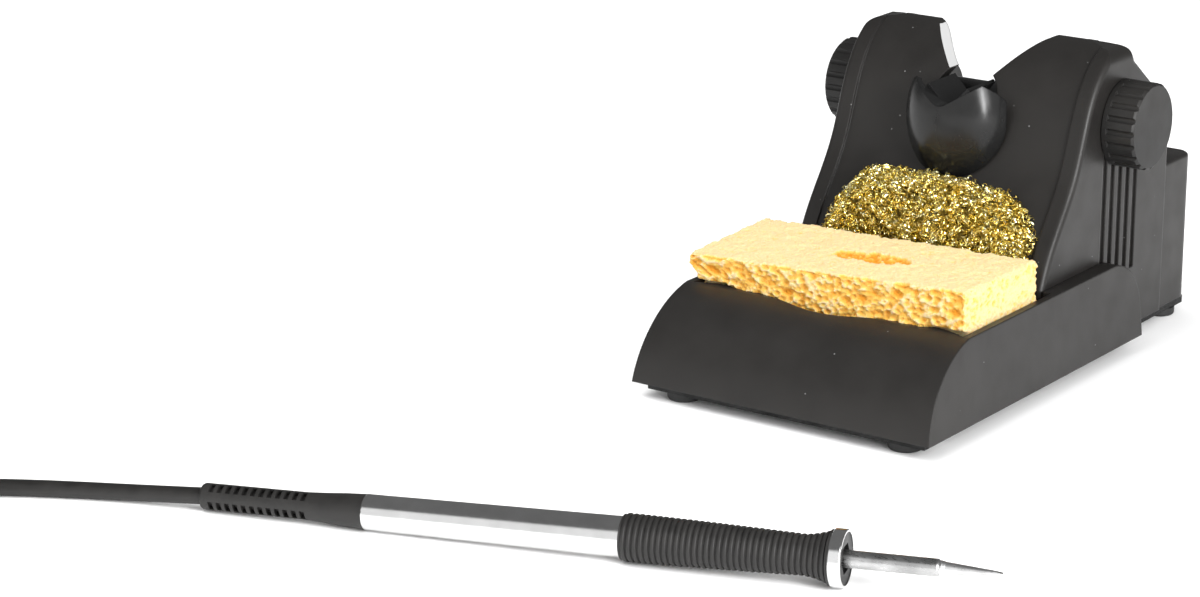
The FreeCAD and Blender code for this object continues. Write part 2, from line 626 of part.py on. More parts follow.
def collar_ring():
    """Bright ring with a thin rim round the nozzle, at the front of the grip."""
    inner = RING_RADIUS - 0.7
    return turned([(GRIP_END, 4.8), (GRIP_END, RING_RADIUS - 0.4), (GRIP_END + 0.4, RING_RADIUS),
                   (RING_END - 0.3, RING_RADIUS), (RING_END, RING_RADIUS - 0.3), (RING_END, inner),
                   (GRIP_END + 1.2, inner), (GRIP_END + 1.2, 4.8)])


def nozzle():
    """Insulating nose inside the collar, with a six-sided mouth round the sleeve."""
    x0, x1 = GRIP_END + 1.2, RING_END - 0.3
    body = rod_x(RING_RADIUS - 0.7, x0, x1)
    corners = [(math.cos(math.radians(60 * i)), math.sin(math.radians(60 * i))) for i in range(6)]
    mouth = prism([(x1 - 1.3, 4.2 * y, 4.2 * z) for y, z in corners], Vector(5, 0, 0))
    return body.cut(mouth).cut(rod_x(SLEEVE_RADIUS + RUNNING_GAP, x0 - 1, x1 + 1)).removeSplitter()


def tip_sleeve():
    outer = turned([(SLEEVE_START, 1.5), (SLEEVE_START, SLEEVE_RADIUS), (SLEEVE_END - 0.4, SLEEVE_RADIUS),
                    (SLEEVE_END, SLEEVE_RADIUS - 0.3), (SLEEVE_END, 1.5)])
    return outer


def tip_bit():
    """The plated bit: a root in the sleeve, a short shoulder cone, and a long taper to a chisel edge."""
    body = turned([(SLEEVE_END - 14, 0), (SLEEVE_END - 14, 1.5), (SLEEVE_END, 1.5), (SLEEVE_END, 1.95),
                   (SLEEVE_END + 0.5, 2.0), (SLEEVE_END + 1.6, 1.7), (TIP_END - 1.4, 0.62), (TIP_END, 0.5),
                   (TIP_END, 0)])
    for side in (-1, 1):
        flat = prism([(TIP_END - 4, -2, side * 0.9), (TIP_END + 0.5, -2, side * 0.12),
                      (TIP_END + 0.5, -2, side * 2.5), (TIP_END - 4, -2, side * 2.5)], Vector(0, 4, 0))
        body = body.cut(flat)
    return body


def heater_rod():
    return rod_x(1.5, SLEEVE_START - 8, SLEEVE_END - 14)


def tip_socket():
    """Receptacle in the handle that the cartridge plugs into."""
    x0 = SLEEVE_START - 14
    body = rod_x(3.4, x0, SLEEVE_START + 4)
    body = body.cut(rod_x(SLEEVE_RADIUS + 0.08, SLEEVE_START - 0.5, SLEEVE_START + 5))
    return body.cut(rod_x(1.5 + 0.08, SLEEVE_START - 9, SLEEVE_START))


def contact_rings():
    rings = []
    for x in CONTACT_RING_PLACES:
        rings.append(rod_x(3.9, x - 0.35, x + 0.35).cut(rod_x(3.4, x - 1, x + 1)))
    return Part.makeCompound(rings)


def core_with_ring_grooves():
    core = front_core()
    for x in CONTACT_RING_PLACES:
        core = core.cut(rod_x(3.9, x - 0.35, x + 0.35))
    return core


def handle_board():
    return box(RELIEF_END + 14, TUBE_END - 14, -2.8, 2.8, -0.5, 0.5)


def lead_wires():
    wires = []
    for y in (-1.3, 0.0, 1.3):
        wires.append(rod_x(0.45, RELIEF_END + 9, RELIEF_END + 20, y, 0.95))
        wires.append(rod_x(0.45, TUBE_END - 20, SLEEVE_START - 14, y, 0.95))
    return Part.makeCompound(wires)


def cable_clamp():
    clamp = rod_x(TUBE_RADIUS_REAR - 0.7, RELIEF_END + 6, RELIEF_END + 9)
    return clamp.cut(rod_x(CORD / 2, RELIEF_END, RELIEF_END + 12))


def on_iron(shape):
    """Lays a piece drawn along +X where the iron lies, nose slightly up on its collar."""
    turn = Rotation(Vector(0, 0, 1), IRON_HEADING).multiply(Rotation(Vector(0, 1, 0), -IRON_PITCH))
    shape.Placement = Placement(Vector(*IRON_AT), turn).multiply(shape.Placement)
    return shape


# ---------------------------------------------------------------- cord

def rounded_path(route, name):
    """Straight runs joined by arcs as large as the two runs beside each corner allow."""
    points = [Vector(*point) for point in route]
    edges = []
    start = points[0]
    for before, corner, after in zip(points, points[1:], points[2:]):
        into = (corner - before).normalize()
        away = (after - corner).normalize()
        turn = into.getAngle(away)
        cut = 0.45 * min((corner - before).Length, (after - corner).Length)
        radius = cut / math.tan(turn / 2)
        print(name, "radius %.0f mm, turn %.1f degrees" % (radius, math.degrees(turn)))
        first = corner - into * cut
        last = corner + away * cut
        inward = (away - into).normalize()
        middle = corner + inward * (radius / math.cos(turn / 2) - radius)
        edges.append(Part.makeLine(start, first))
        edges.append(Part.Arc(first, middle, last).toShape())
        start = last
    edges.append(Part.makeLine(start, points[-1]))
    return Part.Wire(edges)


def cord_tube(route, name):
    path = rounded_path(route, name)
    start = Vector(*route[0])
    heading = Vector(*route[1]) - start
    section = Part.Wire(Part.makeCircle(CORD / 2, start, heading))
    tube = path.makePipeShell([section], True, False)
    expected = math.pi * (CORD / 2) ** 2 * path.Length
    print(name, "length %.1f mm, volume ratio %.4f" % (path.Length, tube.Volume / expected))
    return tube


def cord_coil():
    """Outer form of the stored coil: two turns wide and four layers high."""
    inner = COIL_RADIUS_IN - CORD / 2
    outer = COIL_RADIUS_IN + CORD * 1.5
    x, y = COIL_CENTRE
    height = COIL_LAYERS * CORD
    return rod_z(outer, 0.05, height, x, y).cut(rod_z(inner, -1, height + 1, x, y))


def at_plug(shape):
    """Lays a piece drawn along +X on the bench at the end of the cord's tail."""
    before, end = Vector(*TAIL_ROUTE[-2]), Vector(*TAIL_ROUTE[-1])
    heading = math.degrees(math.atan2(end.y - before.y, end.x - before.x))
    shape.Placement = Placement(end, Rotation(Vector(0, 0, 1), heading)).multiply(shape.Placement)
    return shape


def plug_boot():
    body = turned([(-0.0, CORD / 2), (0, CORD / 2 + 0.9), (2, CORD / 2 + 1.2), (14, 5.2), (16, 5.2), (16, CORD / 2)])
    return body.fuse(rod_x(CORD / 2, 0, 16)).removeSplitter()


def plug_body():
    return turned([(16, 0), (16, 6.2), (17, 7.0), (31, 7.0), (31, 0)])


def plug_ring():
    ring = rod_x(PLUG_RADIUS, 31.3, 38.8).cut(rod_x(6.45, 30, 41))
    for i in range(16):
        angle = 2 * math.pi * i / 16
        ring = ring.cut(rod_x(0.45, 30, 41, PLUG_RADIUS * math.cos(angle), PLUG_RADIUS * math.sin(angle)))
    return ring


def plug_shell():
    """Metal sleeve: a seat under the locking ring, a groove, and a slimmer nose that enters the socket."""
    shell = joined([rod_x(6.4, 31.0, 39.0), rod_x(5.7, 39.0, 40.0), rod_x(PLUG_NOSE_RADIUS, 40.0, 47.0)])
    return shell.cut(rod_x(5.2, 30.5, 48))


def plug_insert():
    body = rod_x(5.2, 31.0, 39.0)
    for y, z in plug_pin_places():
        body = body.cut(rod_x(0.6, 33, 40, y, z))
    return body


def plug_pin_places():
    """Seven pins: six on a circle and one in the middle."""
    ring = [(3.3 * math.cos(math.radians(60 * i)), 3.3 * math.sin(math.radians(60 * i))) for i in range(6)]
    return ring + [(0.0, 0.0)]


def plug_pins():
    return Part.makeCompound([rod_x(0.6, 33.0, 45.0, y, z) for y, z in plug_pin_places()])


# ---------------------------------------------------------------- write

def pieces():
    made = {
        "tray_shell": tray_shell(),
        "sponge_dish": sponge_dish(),
        "sponge": sponge(),
        "wool_tray": wool_tray(),
        "brass_wool": brass_wool(),
        "tower_housing": tower_housing(),
        "rear_box": rear_box(),
        "ballast_block": ballast_block(),
        "base_plate": base_plate(),
        "base_screws": base_screws(),
        "cradle_cup": cradle_cup(),
        "rest_channel": rest_channel(),
        "wear_strip": wear_strip(),
        "cup_screws": cup_screws(),
        "pivot_shaft": pivot_shaft(),
    }
    for name, (x, y) in FOOT_PLACES.items():
        made["foot_" + name] = rubber_foot(x, y)
    for name, side in (("left", -1), ("right", 1)):
        made["friction_washer_" + name] = friction_washer(side)
        made["knob_" + name] = knob(side)
        made["knob_insert_" + name] = knob_insert(side)
    for build in (strain_relief, cord_end, handle_tube, grip, collar_ring, nozzle, tip_sleeve, tip_bit,
                  heater_rod, tip_socket, contact_rings, handle_board, lead_wires, cable_clamp):
        made[build.__name__] = on_iron(build())
    made["front_core"] = on_iron(core_with_ring_grooves())
    made["cord_lead"] = cord_tube(LEAD_ROUTE, "cord_lead")
    made["cord_coil"] = cord_coil()
    made["cord_tail"] = cord_tube(TAIL_ROUTE, "cord_tail")
    for build in (plug_boot, plug_body, plug_ring, plug_shell, plug_insert, plug_pins):
        made[build.__name__] = at_plug(build())
    return made


def write(made):
    os.makedirs("parts", exist_ok=True)
    for name, shape in made.items():
        shape.translate(ORIGIN * -1)
        if not shape.isValid():
            print("not valid:", name)
        shape.exportStep("parts/%s.step" % name)


write(pieces())
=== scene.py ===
"""Looks of the soldering iron station: materials, cord, sponge, brass wool, light and camera."""
import math

import bpy
import numpy as np
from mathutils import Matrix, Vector, noise


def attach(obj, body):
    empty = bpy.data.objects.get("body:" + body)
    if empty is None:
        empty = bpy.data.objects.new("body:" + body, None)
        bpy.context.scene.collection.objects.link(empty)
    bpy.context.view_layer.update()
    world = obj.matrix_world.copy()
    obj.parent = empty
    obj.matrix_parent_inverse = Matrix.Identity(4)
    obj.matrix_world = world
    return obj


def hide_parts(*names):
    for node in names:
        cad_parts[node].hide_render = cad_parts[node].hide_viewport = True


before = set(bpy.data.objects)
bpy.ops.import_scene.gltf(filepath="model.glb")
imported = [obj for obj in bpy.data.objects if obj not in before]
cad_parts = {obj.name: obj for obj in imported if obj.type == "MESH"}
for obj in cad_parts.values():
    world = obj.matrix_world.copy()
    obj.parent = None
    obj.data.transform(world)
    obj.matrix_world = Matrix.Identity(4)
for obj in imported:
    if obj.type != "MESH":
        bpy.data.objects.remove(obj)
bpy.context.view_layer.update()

MM = 0.001

# The middle of the tray's front edge on the bench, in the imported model's frame. Places are given from
# here, in millimetres: x to the stand's right, y to its rear, z up.
STAND = Vector((-13.7, -14.1, 0.0))


def stand(x, y, z):
    """A point given in millimetres from the tray's front edge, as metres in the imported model's frame."""
    return (Vector((x, y, z)) + STAND) * MM


# ---------------------------------------------------------------- camera, floor and light

# Metres, degrees and millimetres. The camera looks down by its elevation.
CAMERA_PLACE = (0.4934, -0.8072, 0.3285)
CAMERA_AZIMUTH = 35.64
CAMERA_ELEVATION = 17.10
CAMERA_LENS = 105.0
CAMERA_SENSOR = 36.0
CAMERA_NEAREST = 0.01

FLOOR_HALF = 6.0
LIGHTS_AIM = Vector((0.0, 0.0, 0.03))

# Shiny surfaces mirror a room that is dim around this direction. The dimming starts at the first cosine to
# it and is full at the second.
DIM_SIDE = (-0.36, 0.50, 0.78)
DIM_START, DIM_FULL = 0.12, 0.30


def add_camera():
    data = bpy.data.cameras.new("camera")
    data.sensor_fit = "HORIZONTAL"
    data.sensor_width = CAMERA_SENSOR
    data.lens = CAMERA_LENS
    data.clip_start = CAMERA_NEAREST
    camera = bpy.data.objects.new("camera", data)
    camera.location = CAMERA_PLACE
    camera.rotation_euler = (math.radians(90 - CAMERA_ELEVATION), 0, math.radians(CAMERA_AZIMUTH))
    bpy.context.scene.collection.objects.link(camera)
    bpy.context.scene.camera = camera


def add_floor():
    corners = [(-FLOOR_HALF, -FLOOR_HALF, 0), (FLOOR_HALF, -FLOOR_HALF, 0),
               (FLOOR_HALF, FLOOR_HALF, 0), (-FLOOR_HALF, FLOOR_HALF, 0)]
    mesh = bpy.data.meshes.new("floor")
    mesh.from_pydata(corners, [], [(0, 1, 2, 3)])
    floor = bpy.data.objects.new("floor", mesh)
    bpy.context.scene.collection.objects.link(floor)
    mesh.materials.append(floor_paper())


def add_softbox(name, toward, distance, size, power, mirrored=True):
    """A rectangular light that faces the part from a direction. Shiny surfaces show it if it is mirrored."""
    data = bpy.data.lights.new(name, "AREA")
    data.shape = "RECTANGLE"
    data.size, data.size_y = size
    data.energy = power
    light = bpy.data.objects.new(name, data)
    direction = Vector(toward).normalized()
    light.location = LIGHTS_AIM + direction * distance
    light.rotation_euler = direction.to_track_quat("Z", "Y").to_euler()
    light.visible_glossy = mirrored
    bpy.context.scene.collection.objects.link(light)


def add_sky(even=0.95, bright=1.0, dim=0.15):
    """Even light on dull surfaces, and for the shiny ones to mirror a bright room with a dim upper rear."""
    world = bpy.data.worlds.new("studio")
    bpy.context.scene.world = world
    world.use_nodes = True
    tree = world.node_tree
    toward = node(tree, "VectorMath", operation="DOT_PRODUCT")
    tree.links.new(node(tree, "TexCoord").outputs["Generated"], toward.inputs[0])
    toward.inputs[1].default_value = DIM_SIDE
    share = spread(tree, toward.outputs["Value"], 0.0, 1.0, start=DIM_START, end=DIM_FULL)
    room = ramp(tree, share, [(0.0, grey(bright)), (1.0, grey(dim))])
    mirrored = node(tree, "LightPath").outputs["Is Glossy Ray"]
    light = node(tree, "MixRGB", {"Fac": mirrored, "Color1": grey(even), "Color2": room})
    background = tree.nodes["Background"]
    tree.links.new(light.outputs["Color"], background.inputs["Color"])
    background.inputs["Strength"].default_value = 1.0


def add_light():
    """The surroundings and three softboxes, each with its direction, distance, size in metres and watts."""
    add_sky()
    add_softbox("key", (-0.35, -0.55, 0.95), 1.5, (1.2, 0.9), 15.0, mirrored=False)
    add_softbox("side", (0.85, -0.35, 0.45), 1.2, (0.5, 0.7), 8.0)
    add_softbox("rim", (0.765, -0.355, 0.272), 1.2, (0.14, 0.7), 10.0)


# ---------------------------------------------------------------- node helpers

def grey(value):
    return (value, value, value, 1.0)


def rgb(red, green, blue):
    return (red, green, blue, 1.0)


def node(tree, kind, values=None, **settings):
    """Adds a node. A value is linked when it is a socket of another node, and set otherwise."""
    made = tree.nodes.new("ShaderNode" + kind)
    for key, value in settings.items():
        setattr(made, key, value)
    for name, value in (values or {}).items():
        if isinstance(value, bpy.types.NodeSocket):
            tree.links.new(value, made.inputs[name])
        else:
            made.inputs[name].default_value = value
    return made


def ramp(tree, factor, stops):
    """The colour output of a ramp with the (place, colour) stops given."""
    made = node(tree, "ValToRGB", {"Fac": factor})
    elements = made.color_ramp.elements
    elements[0].position, elements[0].color = stops[0]
    elements[1].position, elements[1].color = stops[-1]
    for place, colour in stops[1:-1]:
        elements.new(place).color = colour
    return made.outputs["Color"]


def spread(tree, value, low, high, start=0.3, end=0.7):
    """Maps a noise value between start and end to the range low to high."""
    made = node(tree, "MapRange", {"Value": value, "From Min": start, "From Max": end,
                                   "To Min": low, "To Max": high})
    return made.outputs["Result"]


def maths(tree, operation, a, b=0.0):
    """The output of a maths node on a and b, each a number or another node's socket."""
    made = node(tree, "Math", operation=operation)
    for socket, value in zip(made.inputs, (a, b)):
        if isinstance(value, bpy.types.NodeSocket):
            tree.links.new(value, socket)
        else:
            socket.default_value = value
    return made.outputs["Value"]


def new_material(name, roughness=0.5, metallic=0.0, **sockets):
    """A material with its tree, its principled shader and the object's coordinates in metres."""
    material = bpy.data.materials.new(name)
    material.use_nodes = True
    tree = material.node_tree
    shader = tree.nodes["Principled BSDF"]
    shader.inputs["Roughness"].default_value = roughness
    shader.inputs["Metallic"].default_value = metallic
    for key, value in sockets.items():
        shader.inputs[key.replace("_", " ")].default_value = value
    coords = node(tree, "TexCoord").outputs["Object"]
    return material, tree, shader, coords


def grain(tree, coords, size_mm, detail=3.0, stretch=None, turn=0.0):
    """Noise with features of about the size given; stretch scales it along the part's X, Y and Z."""
    if stretch:
        turned = node(tree, "Mapping", {"Vector": coords, "Rotation": (0, 0, -turn), "Scale": stretch})
        coords = turned.outputs["Vector"]
    made = node(tree, "TexNoise", {"Vector": coords, "Scale": 1.0 / (size_mm * MM), "Detail": detail})
    return made.outputs["Fac"]


def add_bump(tree, shader, height, depth_mm, strength=1.0, normal=None):
    """Bumps a shader's surface by a height from 0 to 1, over the normals given or the mesh's own."""
    values = {"Height": height, "Distance": depth_mm * MM, "Strength": strength}
    if normal is not None:
        values["Normal"] = normal
    bump = node(tree, "Bump", values)
    tree.links.new(bump.outputs["Normal"], shader.inputs["Normal"])


def rounded_edges(tree, radius_mm):
    """Shading normals that round a moulded part's sharp edges."""
    return node(tree, "Bevel", {"Radius": radius_mm * MM}, samples=6).outputs["Normal"]


# ---------------------------------------------------------------- materials

SMALL_EDGE = 0.15
PLASTIC_IOR = 1.36
RUBBER_IOR = 1.45
DUST_PER_METRE = 160.0
DUST_GREY = 0.16

# The faces of the towers' notch, which carry a painted reflection, lie within this half width and above this
# height, and are
# upright across the stand at a slope: the size of their normal's X is between these two.
NOTCH_HALF, NOTCH_FLOOR = 19.5, 84.4
NOTCH_SLOPE_LOW, NOTCH_SLOPE_HIGH = 0.5, 0.86
NOTCH_MOST_Y = 0.05
# Pale grey painted on the notch's faces: a painted reflection of the bright room on the glossy black plastic.
NOTCH_REFLECTION_GREY = 0.42

IRON_HEADING = math.radians(17.3)


def floor_paper():
    material, tree, shader, coords = new_material("floor_paper", roughness=0.9)
    colour = ramp(tree, grain(tree, coords, 60.0), [(0.3, grey(0.93)), (0.7, grey(0.95))])
    tree.links.new(colour, shader.inputs["Base Color"])
    return material


def moulded_plastic(name, dark, light, roughness, grain_depth, edge_radius, dust=0.0):
    """Moulded plastic: cloudy colour, a fine grain, soft edges, and specks of dust as large as dust says."""
    material, tree, shader, coords = new_material(name, IOR=PLASTIC_IOR)
    clouds = grain(tree, coords, 18.0, detail=4.0)
    colour = ramp(tree, clouds, [(0.3, dark), (0.7, light)])
    if dust:
        cells = node(tree, "TexVoronoi", {"Vector": coords, "Scale": DUST_PER_METRE, "Randomness": 1.0})
        speck = maths(tree, "LESS_THAN", cells.outputs["Distance"], dust)
        dusty = node(tree, "MixRGB", {"Fac": speck, "Color1": colour, "Color2": grey(DUST_GREY)})
        colour = dusty.outputs["Color"]
    tree.links.new(colour, shader.inputs["Base Color"])
    smears = grain(tree, coords, 9.0, detail=5.0)
    tree.links.new(spread(tree, smears, roughness - 0.05, roughness + 0.07), shader.inputs["Roughness"])
    pimples = grain(tree, coords, 0.35, detail=2.0)
    add_bump(tree, shader, pimples, grain_depth, normal=rounded_edges(tree, edge_radius))
    return material


def metal(name, dark, light, roughness, stretch=(1, 1, 1), turn=0.0, scratch_depth=0.004):
    """Bare metal with fine working marks, drawn out along the stretch given."""
    material, tree, shader, coords = new_material(name, metallic=1.0)
    clouds = grain(tree, coords, 6.0, detail=4.0)
    tree.links.new(ramp(tree, clouds, [(0.3, dark), (0.7, light)]), shader.inputs["Base Color"])
    marks = grain(tree, coords, 0.5, detail=3.0, stretch=stretch, turn=turn)
    tree.links.new(spread(tree, marks, roughness * 0.7, roughness * 1.4), shader.inputs["Roughness"])
    add_bump(tree, shader, marks, scratch_depth, normal=rounded_edges(tree, SMALL_EDGE))
    return material


def rubber(name, dark, light, roughness, depth=0.03):
    """Soft black or coloured rubber with a dull, slightly uneven skin."""
    material, tree, shader, coords = new_material(name, IOR=RUBBER_IOR)
    clouds = grain(tree, coords, 5.0, detail=5.0)
    tree.links.new(ramp(tree, clouds, [(0.3, dark), (0.7, light)]), shader.inputs["Base Color"])
    tree.links.new(spread(tree, clouds, roughness - 0.06, roughness + 0.08), shader.inputs["Roughness"])
    add_bump(tree, shader, grain(tree, coords, 0.25), depth, normal=rounded_edges(tree, SMALL_EDGE))
    return material


def cellulose():
    """Sponge: a pale skin and a fine fibrous surface, with painted shade that turns its pores and pits a
    deeper orange.
    """
    material, tree, shader, coords = new_material("cellulose", roughness=0.9, Subsurface_Weight=0.25,
                                                  Subsurface_Scale=0.002, IOR=1.3)
    # The pore attribute carries painted shade that grows with the depth of each pore.
    pore = node(tree, "Attribute", attribute_name="pore").outputs["Fac"]
    fibres = grain(tree, coords, 0.9, detail=6.0)
    cells = node(tree, "TexVoronoi", {"Vector": coords, "Scale": 1 / (0.75 * MM)})
    pits = spread(tree, cells.outputs["Distance"], 0.5, 0.0, start=0.0, end=0.45)
    pit_hollow_and_shade = maths(tree, "MULTIPLY", pits, spread(tree, fibres, 0.2, 1.0))
    depth = maths(tree, "ADD", pore, maths(tree, "MULTIPLY", pit_hollow_and_shade, 0.5))
    # This ramp paints shade: the deeper the pore or pit, the darker and more orange the colour.
    colour = ramp(tree, depth, [(0.0, rgb(0.63, 0.49, 0.26)), (0.35, rgb(0.68, 0.42, 0.10)),
                                (1.0, rgb(0.60, 0.24, 0.02))])
    tree.links.new(colour, shader.inputs["Base Color"])
    height = maths(tree, "SUBTRACT", maths(tree, "MULTIPLY", fibres, 0.7), pit_hollow_and_shade)
    add_bump(tree, shader, height, 0.5, strength=0.8)
    return material


def wool_wire():
    """Bright brass wire, paler or deeper by each wire's own shade."""
    material, tree, shader, coords = new_material("wool_wire", metallic=1.0)
    shade = node(tree, "Attribute", attribute_name="shade").outputs["Fac"]
    colour = ramp(tree, shade, [(0.0, rgb(0.80, 0.62, 0.14)), (0.5, rgb(1.0, 0.84, 0.30)),
                                (1.0, rgb(1.0, 0.98, 0.66))])
    tree.links.new(colour, shader.inputs["Base Color"])
    marks = grain(tree, coords, 0.3)
    tree.links.new(spread(tree, marks, 0.10, 0.28), shader.inputs["Roughness"])
    add_bump(tree, shader, marks, 0.03)
    return material


def wool_shade_core():
    """Painted shade for the shadowed tangle between the wires: brass darkened almost to black."""
    material, tree, shader, coords = new_material("wool_shade_core", metallic=0.9, roughness=0.5)
    curls = grain(tree, coords, 1.2, detail=6.0)
    # The dark end of this ramp is painted shade in the tangle, not the brass's own colour.
    tree.links.new(ramp(tree, curls, [(0.35, rgb(0.05, 0.033, 0.006)), (0.7, rgb(0.50, 0.36, 0.08))]),
                   shader.inputs["Base Color"])
    add_bump(tree, shader, curls, 1.2)
    return material


def paint_notch_reflection(material):
    """Paints a pale grey reflection onto the two faces of the towers' notch, which are known by their place
    and the way they face.
    """
    tree = material.node_tree
    shader = tree.nodes["Principled BSDF"]
    plain = shader.inputs["Base Color"].links[0].from_socket
    facing = node(tree, "SeparateXYZ", {"Vector": node(tree, "NewGeometry").outputs["True Normal"]})
    place = node(tree, "SeparateXYZ", {"Vector": node(tree, "TexCoord").outputs["Object"]})
    across = maths(tree, "ABSOLUTE", facing.outputs["X"])
    from_middle = maths(tree, "ABSOLUTE", maths(tree, "SUBTRACT", place.outputs["X"], STAND.x * MM))
    notch_reflection_mask = maths(tree, "GREATER_THAN", across, NOTCH_SLOPE_LOW)
    for test in (maths(tree, "LESS_THAN", across, NOTCH_SLOPE_HIGH),
                 maths(tree, "LESS_THAN", maths(tree, "ABSOLUTE", facing.outputs["Y"]), NOTCH_MOST_Y),
                 maths(tree, "LESS_THAN", from_middle, NOTCH_HALF * MM),
                 maths(tree, "GREATER_THAN", place.outputs["Z"], NOTCH_FLOOR * MM)):
        notch_reflection_mask = maths(tree, "MULTIPLY", notch_reflection_mask, test)
    # Painted reflection: the masked faces get pale grey in place of the black plastic's colour.
    mixed = node(tree, "MixRGB", {"Fac": notch_reflection_mask, "Color1": plain, "Color2": grey(NOTCH_REFLECTION_GREY)})
    tree.links.new(mixed.outputs["Color"], shader.inputs["Base Color"])
    return material


def build_materials():
    """Every material but the cord's, with the CAD nodes that wear it."""
    housing = moulded_plastic("housing_plastic", rgb(0.0140, 0.0130, 0.0122), rgb(0.0180, 0.0167, 0.0156),
                              roughness=0.40, grain_depth=0.010, edge_radius=0.8, dust=0.035)
    towers = moulded_plastic("tower_plastic", rgb(0.0125, 0.0116, 0.0109), rgb(0.0160, 0.0148, 0.0138),
                             roughness=0.38, grain_depth=0.010, edge_radius=0.8, dust=0.035)
    cradle = moulded_plastic("cradle_plastic", grey(0.006), grey(0.010),
                             roughness=0.22, grain_depth=0.004, edge_radius=0.4)
    knobs = moulded_plastic("knob_plastic", grey(0.010), rgb(0.017, 0.016, 0.015),
                            roughness=0.46, grain_depth=0.014, edge_radius=0.3)
    core = moulded_plastic("core_plastic", grey(0.010), grey(0.02),
                           roughness=0.45, grain_depth=0.01, edge_radius=0.2)
    ceramic = moulded_plastic("heater_ceramic", grey(0.6), grey(0.75),
                              roughness=0.5, grain_depth=0.01, edge_radius=0.1)
    lacquer = moulded_plastic("board_lacquer", rgb(0.01, 0.09, 0.03), rgb(0.015, 0.12, 0.05),
                              roughness=0.3, grain_depth=0.01, edge_radius=0.1)
    return [
        (housing, ["tray_shell", "rear_box", "wool_tray", "sponge_dish"]),
        (paint_notch_reflection(towers), ["tower_housing"]),
        (cradle, ["cradle_cup", "rest_channel"]),
        (knobs, ["knob_left", "knob_right"]),
        (metal("coated_plate", grey(0.02), grey(0.04), 0.5, scratch_depth=0.01),
         ["base_plate", "ballast_block"]),
        (metal("zinc_plate", grey(0.45), grey(0.6), 0.3),
         ["base_screws", "cup_screws", "pivot_shaft", "friction_washer_left", "friction_washer_right"]),
        (metal("rest_steel", grey(0.66), grey(0.80), 0.26, stretch=(1, 0.1, 0.1)), ["wear_strip"]),
        (metal("turned_brass", rgb(0.62, 0.43, 0.15), rgb(0.8, 0.6, 0.27), 0.25),
         ["knob_insert_left", "knob_insert_right", "contact_rings", "plug_pins"]),
        (rubber("foot_rubber", grey(0.010), grey(0.02), 0.6),
         ["foot_front_left", "foot_front_right", "foot_rear_left", "foot_rear_right"]),
        (metal("tube_steel", grey(0.70), grey(0.78), 0.15, stretch=(0.05, 1, 1), turn=IRON_HEADING),
         ["handle_tube"]),
        (metal("collar_steel", grey(0.74), grey(0.84), 0.12, stretch=(1, 0.1, 0.1), turn=IRON_HEADING),
         ["collar_ring"]),
        (metal("sleeve_steel", grey(0.36), grey(0.58), 0.30, stretch=(0.15, 1, 1), turn=IRON_HEADING),
         ["tip_sleeve"]),
        (metal("tip_plating", grey(0.50), grey(0.76), 0.36, scratch_depth=0.02), ["tip_bit"]),
        (rubber("grip_rubber", rgb(0.012, 0.0115, 0.011), rgb(0.020, 0.019, 0.018), 0.55), ["grip"]),
        (rubber("boot_rubber", rgb(0.012, 0.0115, 0.011), rgb(0.020, 0.019, 0.018), 0.48),
         ["strain_relief", "plug_boot"]),
        (core, ["nozzle", "front_core", "tip_socket", "cable_clamp", "plug_insert", "plug_body"]),
        (ceramic, ["heater_rod"]),
        (lacquer, ["handle_board"]),
        (rubber("wire_jacket", rgb(0.3, 0.02, 0.01), rgb(0.45, 0.04, 0.02), 0.4), ["lead_wires"]),
        (metal("plug_nickel", grey(0.5), grey(0.62), 0.25), ["plug_shell", "plug_ring"]),
    ]


def dress(name, material):
    """Gives a CAD node one material in place of its plain one."""
    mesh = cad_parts[name].data
    mesh.materials.clear()
    mesh.materials.append(material)


def dress_nodes():
    for material, names in build_materials():
        for name in names:
            dress(name, material)


# ---------------------------------------------------------------- cord

# The cord leaves the iron along the lead, is wound into the coil, and ends at the plug along the tail.
CORD = 4.6
LEAD = [(-89.2, -142.5, 3.91), (-103.5, -147.2, 2.9), (-117.5, -153.0, 2.4), (-130.5, -159.8, 2.35),
        (-142.5, -167.0, 2.35), (-155.0, -175.4, 2.35)]
TAIL = [(-168.5, -183.4, 16.3), (-182.5, -187.0, 12.2), (-194.5, -192.6, 8.4), (-204.5, -199.4, 7.6)]
COIL_CENTRE = (-153.6, -205.7)
COIL_IN, COIL_OUT = 23.0, 27.6
COIL_START = 126.0
COIL_TURNS = 7
COIL_END = 90.0 + COIL_TURNS * 360.0
COIL_TURN_STEPS = 16
COIL_FLOOR, COIL_LAYER = 2.35, 4.62
SHIFT_SHARE = 0.22


def coil_points():
    """The turns, two lanes wide and four layers high, each joined to the next by an easy shift."""
    lanes = [(COIL_OUT, 0), (COIL_IN, 0), (COIL_IN, 1), (COIL_OUT, 1),
             (COIL_OUT, 2), (COIL_IN, 2), (COIL_IN, 3)]
    count = round((COIL_END - COIL_START) / 360 * COIL_TURN_STEPS)
    # The curve cuts inside its control points, so these lie a little outside the radius.
    bulge = 1 / math.cos(math.pi / COIL_TURN_STEPS) ** 0.5
    points = []
    for i in range(count + 1):
        share = i / count
        angle = math.radians(COIL_START + (COIL_END - COIL_START) * share)
        turn = share * (len(lanes) - 0.001)
        lane = int(turn)
        easing = min(1.0, (turn - lane) / SHIFT_SHARE)
        easing = easing * easing * (3 - 2 * easing)
        before = lanes[lane - 1] if lane else ((COIL_IN + COIL_OUT) / 2, 0)
        radius = (before[0] + (lanes[lane][0] - before[0]) * easing) * bulge
        layer = before[1] + (lanes[lane][1] - before[1]) * easing
        x = COIL_CENTRE[0] + radius * math.cos(angle)
        y = COIL_CENTRE[1] + radius * math.sin(angle)
        points.append((x, y, COIL_FLOOR + layer * COIL_LAYER))
    return points


